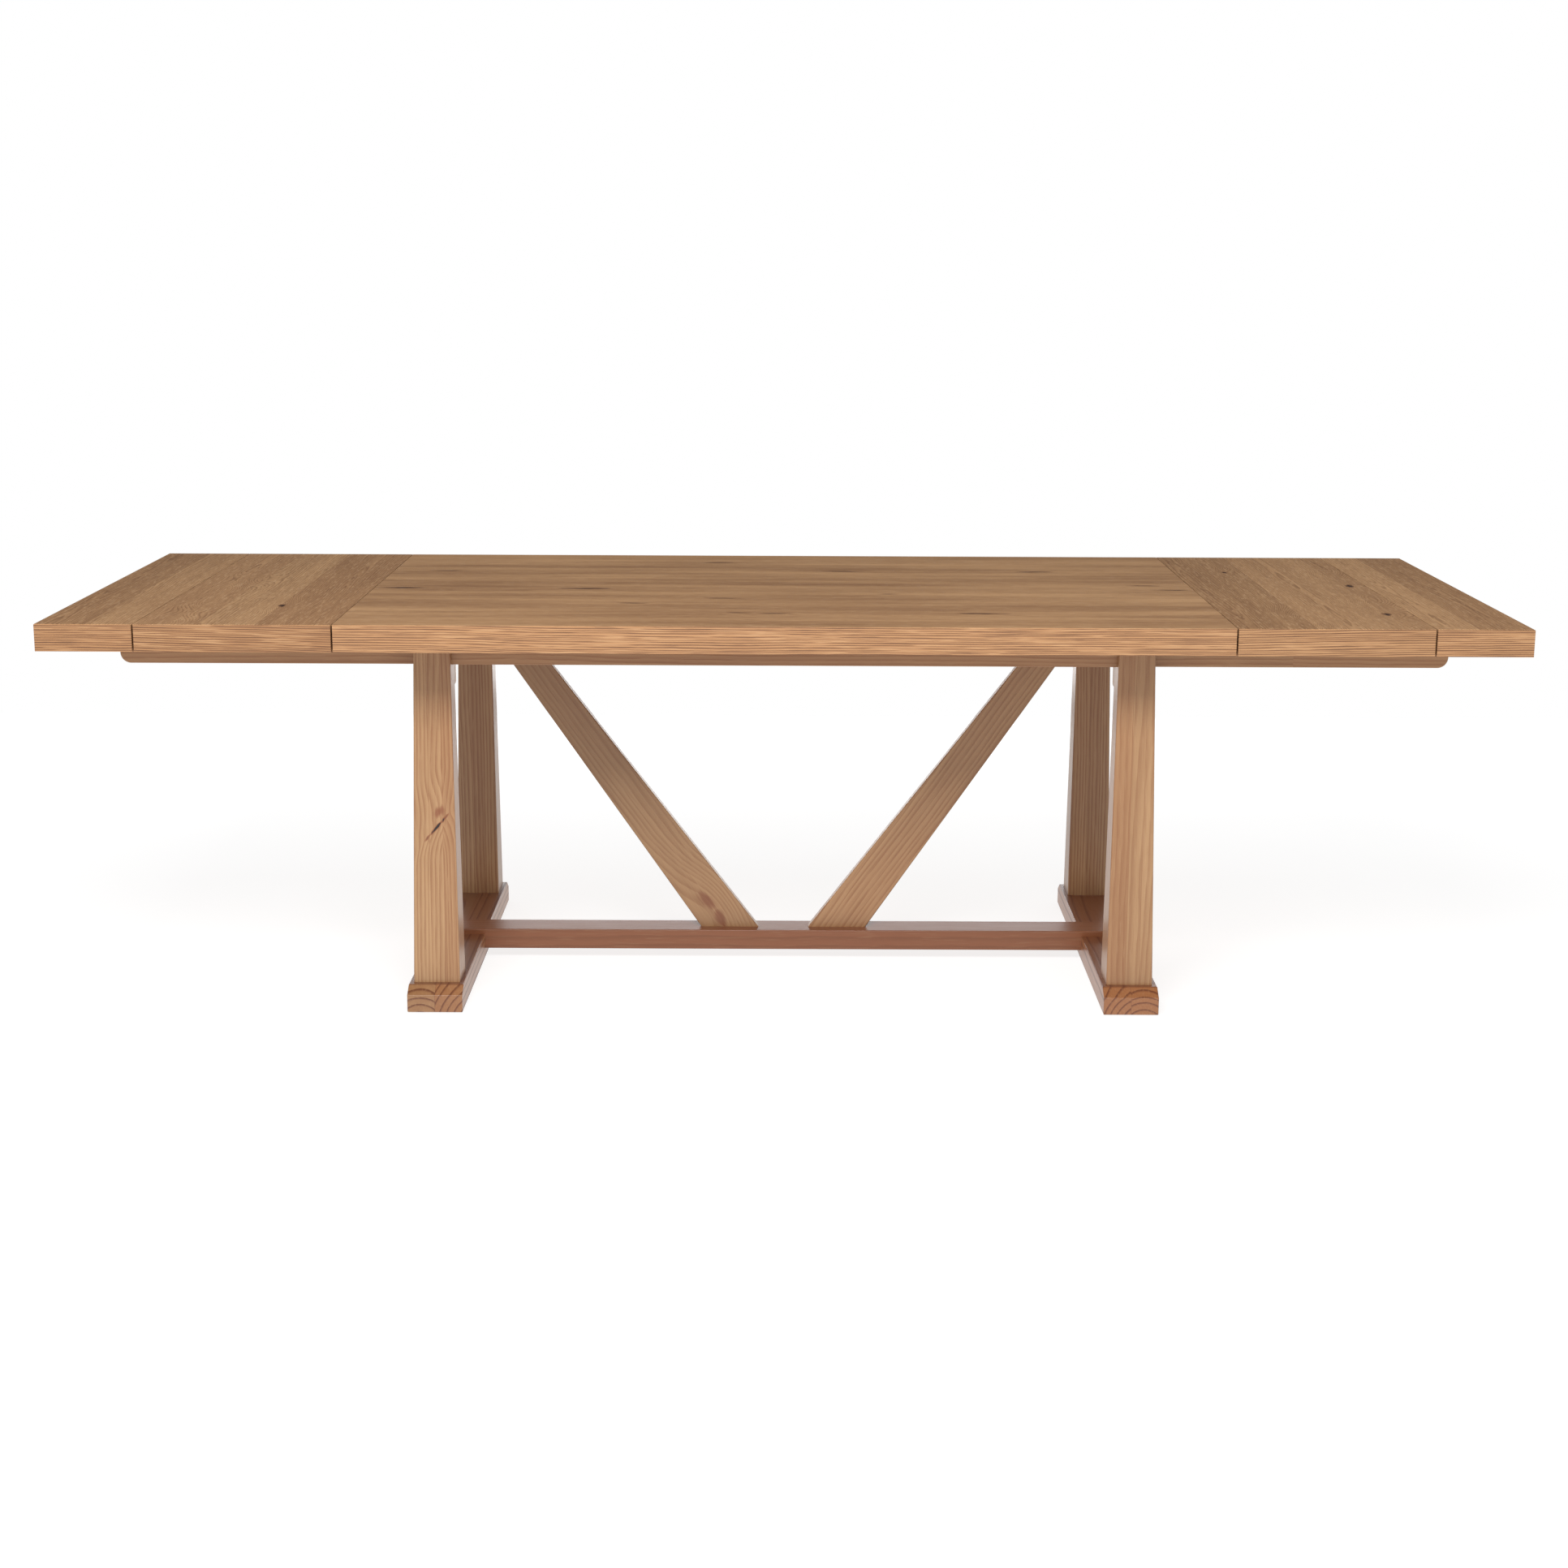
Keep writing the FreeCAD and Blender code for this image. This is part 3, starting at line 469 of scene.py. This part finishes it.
def oak_panel(name, order, span, look=PANEL_OAK, seed=0.0, **boards):
    """Flat-sawn oak boards glued side by side."""
    finish = Finish(name)
    cut = {"start": span[0], "end": span[1], "wave": 1.3, "wander": 0.05, "octaves": 1.0,
           "pith_spread": 0.1, "piths": (-0.05,) * 4, "flame": 0.1, "pith_into": -0.80,
           "ring": 0.0046, "ragged": 0.3, "late_from": 0.5}
    cut.update(boards)
    pattern = ring_pattern(finish, turned_to_grain(finish, order), cut, seed)
    far = finish.split(finish.place())[1]
    # Painted shade along the far arris of the top.
    painted_shade = finish.between(far, SHADED_FAR_EDGE - FAR_SHADE_WIDTH, SHADED_FAR_EDGE, 0.0, 0.7)
    mixed_wood(finish, pattern, look, painted_shade)
    finish.shader.inputs["Specular IOR Level"].default_value = MATT_SPECULAR
    return finish.material


def oak_strip(name, order, into, tilt=0.0, tone=0.5, seed=0.0):
    """Edge strip sawn so that the rings run along its face; its pith lies level with it."""
    finish = Finish(name)
    grain = turned_to_grain(finish, order)
    grain[1] = finish.sum("MULTIPLY_ADD", grain[0], tilt, grain[1])
    cut = {"start": TOP_LEVEL - STRIP_HEIGHT, "end": TOP_LEVEL, "wave": 1.2, "wander": 0.02,
           "pith_spread": 0.03, "piths": (-0.22,), "flame": 0.0, "pith_into": -into,
           "ring": 0.0040, "ragged": 0.45, "late_from": 0.35, "tear": 9.0, "dash": 13.0, "tones": (tone,)}
    mixed_wood(finish, ring_pattern(finish, grain, cut, seed), STRIP_OAK)
    finish.lacquer(0.08, 0.4)
    return finish.material


def dress(node, material):
    """Gives a part of the frame its finish."""
    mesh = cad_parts[node].data
    mesh.materials.clear()
    mesh.materials.append(material)


def reach(node, axis):
    """(lowest, highest) of a part along one axis."""
    low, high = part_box(node)
    return low[axis], high[axis]


print("oak can be sawn and fitted")

# %% [markdown]
# ## The five panels
#
# The middle panel is veneer of one wide cut with small cracks and knots, its grain along
# the table.  The leaves and the ends are narrower boards with their grain across it, and
# each board has a tone of its own.  A knot is a place along and across the grain and a
# size, followed by how it is drawn out, how it slants, and how dark it is.  A swirl is a
# knot with no dark heart, which only bends the lines round it.

# %% Oak panels
MAIN_KNOTS = ((-0.763, -0.019, 0.010), (-0.702, 0.240, 0.007), (-0.391, -0.020, 0.010),
              (-0.290, -0.218, 0.006), (-0.145, 0.389, 0.007), (-0.120, -0.148, 0.006),
              (-0.089, -0.338, 0.005), (-0.018, -0.347, 0.006), (0.127, 0.252, 0.007),
              (0.202, -0.083, 0.004), (0.366, -0.336, 0.009), (0.520, 0.255, 0.008),
              (0.730, 0.050, 0.006), (0.775, -0.010, 0.007))
KNOT, SWIRL, CRACK = (0.42, 0.0, 1.0), (0.42, 0.0, 0.0), (0.15, 0.0, 0.85)
main_cracks = [knot + CRACK for knot in MAIN_KNOTS]
dress("main_panel", oak_panel("oak_main_panel", "XYZ", reach("main_panel", 1), MAIN_OAK, seed=3.0,
                              knots=main_cracks, wander=0.05, piths=(0.3,)))

LEAF_BOARDS = {
    "left_end_panel": dict(glue_lines=(-1.262,), tones=(0.2, 0.65)),
    "left_leaf_panel": dict(glue_lines=(-1.060, -0.955), tones=(0.5, 0.7, 0.25),
                            knots=((-0.269, -0.952, 0.009, *KNOT), (0.1, -1.08, 0.012, *SWIRL),
                                   (-0.36, -1.11, 0.01, *SWIRL))),
    "right_leaf_panel": dict(glue_lines=(0.962, 1.130), tones=(0.25, 0.7, 0.5),
                             knots=((0.060, 1.145, 0.010, *KNOT), (-0.325, 1.129, 0.010, *KNOT),
                                    (0.26, 0.925, 0.006, *KNOT), (-0.39, 0.955, 0.014, *SWIRL),
                                    (0.075, 1.150, 0.018, *SWIRL), (-0.31, 1.135, 0.018, *SWIRL))),
    "right_end_panel": dict(glue_lines=(1.256,), tones=(1.0, 0.4)),
}
for number, (node, plan) in enumerate(LEAF_BOARDS.items()):
    dress(node, oak_panel(f"oak_{node}", "YXZ", reach(node, 0), seed=11.0 + 6 * number, **plan))
print("oak panels:", 1 + len(LEAF_BOARDS))

# %% [markdown]
# ## The edge strips
#
# Each strip is one stick, cut from its own plank, so its grain leans a little and its
# tone differs from its neighbour's.  The strips at the outer ends run along Y.

# %% Oak edge strips
# For each strip: how much its grain leans, and its tone from dark to pale.
STRIPS = {"left_end_edge_front": (0.0, 0.3), "left_leaf_edge_front": (0.02, 0.0),
          "main_edge_front": (0.004, 0.5), "right_leaf_edge_front": (-0.02, 0.45),
          "right_end_edge_front": (0.0, 0.7)}
ANY_STRIP = (0.0, 0.5)
for number, node in enumerate(sorted(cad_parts)):
    if "_edge_" in node:
        outer = node.endswith("outer")
        middle = sum(reach(node, 0 if outer else 1)) / 2
        tilt, tone = STRIPS.get(node, ANY_STRIP)
        order = "YZX" if outer else "XZY"
        dress(node, oak_strip(f"oak_{node}", order, middle, tilt, tone, 40.0 + number))
print("oak on the top")

# %% [markdown]
# ## Pine for the base
#
# Pine has wide pale rings with a sharp reddish line where each summer ends, and a satin
# lacquer over it.  The legs and feet are glued from staves, so the rings jump at a glue
# line.  The braces slant, and their grain slants with them: the place is turned about Y
# before the rings are drawn.

# %% Pine looks
BASE_PINE = {
    "pale": rgb(206, 163, 117), "deep": rgb(164, 118, 78), "red": rgb(180, 118, 74),
    "line": rgb(146, 88, 50), "fleck": rgb(214, 172, 128), "knot_rim": rgb(140, 70, 38),
    "knot_heart": rgb(34, 21, 16), "streaks": 0.9, "clouds": 0.8, "boards": 0.3, "fibres": 0.45,
    "shade": 0.3, "warmth": 0.3, "lines": 0.5, "unbroken": 0.6, "flecks": 0.15, "pores": 0.12,
    "glue": 0.45, "rough": 0.36, "relief": 0.0002,
}


def stained(look, strength, **changes):
    """The same wood under a darker stain: all its colours are scaled."""
    coat = {key: (*(part * strength for part in value[:3]), 1.0) if isinstance(value, tuple) else value
            for key, value in look.items()}
    coat.update(changes)
    return coat


LEG_PINE = stained(BASE_PINE, 0.76, streaks=1.2, lines=0.42)
SOFT_PINE = stained(BASE_PINE, 0.73, lines=0.3, shade=0.2, clouds=1.5, streaks=0.9, fibres=0.4)
BRACE_PINE = stained(SOFT_PINE, 0.86)
# A darker copy of the base pine: painted shade for the back legs under the top.
SHADED_BACK_PINE = stained(BASE_PINE, 0.62, lines=0.55)
RAIL_PINE = stained(BASE_PINE, 0.8, lines=0.35, rough=0.45)
FOOT_PINE = stained(BASE_PINE, 0.65, line=rgb(92, 44, 24), lines=0.85, unbroken=0.9, shade=0.2,
                    warmth=1.1)
FLOOR_RAIL_PINE = stained(SHADED_BACK_PINE, 0.74, red=rgb(126, 72, 42), lines=0.4, warmth=1.5)


# Depth of the painted shade on the top face of a foot.
FOOT_TOP_SHADE_DEPTH = 0.002


def pine(name, order, span, look=LEG_PINE, into=0.0, lean=0.0, seed=0.0, **boards):
    """Pine staves; into is how far the pith lies behind the part's own place."""
    finish = Finish(name)
    cut = {"start": span[0], "end": span[1], "wave": 2.0, "wander": 0.012, "pith_spread": 0.03,
           "piths": (0.16,) * 4, "flame": 0.03, "pith_into": into, "ring": 0.0065, "ragged": 0.3,
           "late_from": 0.3, "tear": 12.0, "dash": 16.0}
    cut.update(boards)
    grain = turned_to_grain(finish, order, lean)
    # The top face of a foot is darkened as painted shade, since the table top shades it.
    painted_shade = 0.0
    if "shaded_top" in cut:
        painted_shade = finish.between(grain[2], cut["shaded_top"] - FOOT_TOP_SHADE_DEPTH, cut["shaded_top"], 0.0, 0.6)
    mixed_wood(finish, ring_pattern(finish, grain, cut, seed), look, painted_shade)
    finish.lacquer(0.2, 0.3)
    return finish.material


print("pine can be sawn")

# %% [markdown]
# ## Legs
#
# Each leg is three staves, with glue lines at two fixed shares of its width.  The left
# front leg has a healed knot with a dark crack under it.  The back legs stand in the
# shade of the top, and their pine is painted darker as painted shade.

# %% Legs
FIRST_GLUE, SECOND_GLUE = 0.41, 0.70
LEG_PLANS = {
    "leg_front_left": dict(piths=(0.16, 0.05, -0.18), into=0.42, force=0.8,
                           knots=((0.384, -0.652, 0.013, 0.8, 0.3, 0.42),
                                  (0.356, -0.655, 0.0045, 0.15, 0.85, 1.0))),
    "leg_front_right": dict(look=SOFT_PINE, piths=(0.2, 0.08, 0.14), into=0.46, ring=0.009, wander=0.03),
    "leg_back_left": dict(look=SHADED_BACK_PINE, into=-0.42),
    "leg_back_right": dict(look=SHADED_BACK_PINE, into=-0.42),
}
for number, (node, plan) in enumerate(LEG_PLANS.items()):
    start, end = reach(node, 0)
    lines = [start + (end - start) * share for share in (FIRST_GLUE, SECOND_GLUE)]
    dress(node, pine(f"pine_{node}", "ZXY", (start, end), glue_lines=lines,
                     seed=60.0 + 7 * number, **plan))
print("legs:", len(LEG_PLANS))

# %% [markdown]
# ## Feet, stretcher and braces
#
# The feet show their end grain to the front: two staves side by side, each with its pith
# low in the middle, which draws the arcs.  The braces lie at a slant, so the place is
# turned until the grain runs along them before their rings are drawn.

# %% Feet, stretcher and braces
FOOT_PITHS = {"foot_left": (-0.01, 0.05), "foot_right": (0.03, -0.03)}
for number, (node, piths) in enumerate(FOOT_PITHS.items()):
    start, end = reach(node, 0)
    # Each foot's top face is darkened as painted shade, from its top level down.
    plan = dict(glue_lines=((start + end) / 2,), piths=piths, ring=0.0125, late_from=0.6,
                ragged=0.1, shaded_top=reach(node, 2)[1])
    dress(node, pine(f"pine_{node}", "YXZ", (start, end), FOOT_PINE, 0.01,
                     seed=90.0 + 5 * number, **plan))

dress("stretcher", pine("pine_stretcher", "XYZ", reach("stretcher", 1), FLOOR_RAIL_PINE, 0.03,
                        seed=120.0))


def leaned(x, z, angle):
    """A place on a brace, along and across its grain."""
    return (x * math.cos(angle) + z * math.sin(angle), z * math.cos(angle) - x * math.sin(angle))


# A brace's box is longer than its centre line runs, by the width of its slanted ends.
CENTRE_LINE_SHARE = 0.8
ACROSS_BRACE = (-0.3, 0.3)
low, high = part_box("brace_right")
brace_lean = math.atan2(high[2] - low[2], (high[0] - low[0]) * CENTRE_LINE_SHARE)
left_knots = ((*leaned(-0.157, 0.118, -brace_lean), 0.016, 0.5, 0.2, 0.42),
              (*leaned(-0.129, 0.078, -brace_lean), 0.014, 0.5, -0.2, 0.42))
dress("brace_left", pine("pine_brace_left", "XZY", ACROSS_BRACE, BRACE_PINE, 0.06, -brace_lean, 129.0,
                         piths=(0.04,), knots=left_knots, force=1.6, ring=0.01))
dress("brace_right", pine("pine_brace_right", "XZY", ACROSS_BRACE, stained(LEG_PINE, 0.9, lines=0.4),
                          0.3, brace_lean, 131.0))
print("braces lean", round(math.degrees(brace_lean), 1), "degrees")

# %% [markdown]
# ## Rails and slides
#
# The slides that carry the ends and the rails under the top are plain softwood.  Long
# sticks are joined from two lengths, and beyond the joint the wood is another tree's, so
# the number that its random values are drawn from jumps there.  The parts are taken by
# the words in their names, which saves a line for each of them.

# %% Rails and slides
RAIL_HEIGHTS, SPINE_WIDTH = (0.65, 0.72), (-0.035, 0.035)
SLIDE_PLANS = {"right_slide_front": {"joint": 0.963}, "left_slide_back": {"joint": -0.8}}
for number, node in enumerate(sorted(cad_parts)):
    if any(word in node for word in ("slide_front", "slide_back", "mid_rail", "slide_guides")):
        plan = SLIDE_PLANS.get(node, {})
        dress(node, pine(f"pine_{node}", "XZY", RAIL_HEIGHTS, RAIL_PINE, 0.1, seed=200.0 + number,
                         **plan))
    elif any(word in node for word in ("batten", "head_rail", "cross_beam", "end_rail", "slide_tie")):
        dress(node, pine(f"pine_{node}", "YXZ", reach(node, 0), RAIL_PINE, -0.6, piths=(0.03,),
                         seed=200.0 + number))
    elif node == "spine":
        dress(node, pine("pine_spine", "XYZ", SPINE_WIDTH, RAIL_PINE, -0.6, seed=140.0))
print("pine on the base")

# %% [markdown]
# ## Steel, beech and nylon
#
# Screws and bolts are zinc plated: a grey metal with a faint mottle.  Dowels are turned
# beech.  The glides are dark moulded nylon.

# %% Small finishes
def plated_steel():
    finish = Finish("plated_steel")
    spots = finish.noise(finish.place(), 900.0, 3.0)
    finish.colour(finish.mix(spots, rgb(168, 168, 162), rgb(206, 206, 200)))
    finish.rough(finish.between(spots, 0.2, 0.8, 0.28, 0.5))
    finish.shader.inputs["Metallic"].default_value = 1.0
    return finish.material


def turned_beech():
    finish = Finish("turned_beech")
    x, y, z = finish.split(finish.place())
    fibre = finish.noise(finish.join(finish.sum("MULTIPLY", x, 40.0), finish.sum("MULTIPLY", y, 600.0),
                                     finish.sum("MULTIPLY", z, 600.0)), 1.0, 3.0)
    finish.colour(finish.mix(fibre, rgb(176, 138, 98), rgb(214, 178, 136)))
    finish.rough(finish.between(fibre, 0.2, 0.8, 0.5, 0.7))
    finish.bump(fibre, 0.0002)
    return finish.material


def moulded_nylon():
    finish = Finish("moulded_nylon")
    grit = finish.noise(finish.place(), 1400.0, 2.0)
    finish.colour(finish.mix(grit, rgb(34, 30, 27), rgb(56, 50, 45)))
    finish.rough(finish.between(grit, 0.2, 0.8, 0.45, 0.65))
    finish.bump(grit, 0.0001)
    return finish.material


steel, beech, nylon = plated_steel(), turned_beech(), moulded_nylon()
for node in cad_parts:
    if node.endswith("screws") or node == "foot_bolts":
        dress(node, steel)
    elif node == "frame_dowels" or node.endswith("stop_pins"):
        dress(node, beech)
dress("foot_glides", nylon)
print("small parts finished")

# %% [markdown]
# ## The floor
#
# A white floor that bounced all its light would wash out the undersides, so this one is
# a mid grey that also glows a little: it looks white and still takes a soft shadow.

# %% Floor finish
GREY_LOW, GREY_HIGH = (0.29, 0.29, 0.29, 1), (0.31, 0.31, 0.31, 1)
floor_finish = Finish("pale_floor")
mottle = floor_finish.noise(floor_finish.place(), 3.0)
floor_finish.colour(floor_finish.mix(mottle, GREY_LOW, GREY_HIGH))
floor_finish.shader.inputs["Roughness"].default_value = 0.9
floor_finish.shader.inputs["Specular IOR Level"].default_value = 0.0
floor_finish.shader.inputs["Emission Color"].default_value = (1, 1, 1, 1)
floor_finish.shader.inputs["Emission Strength"].default_value = 0.8
floor.data.materials.append(floor_finish.material)
print("floor finished")
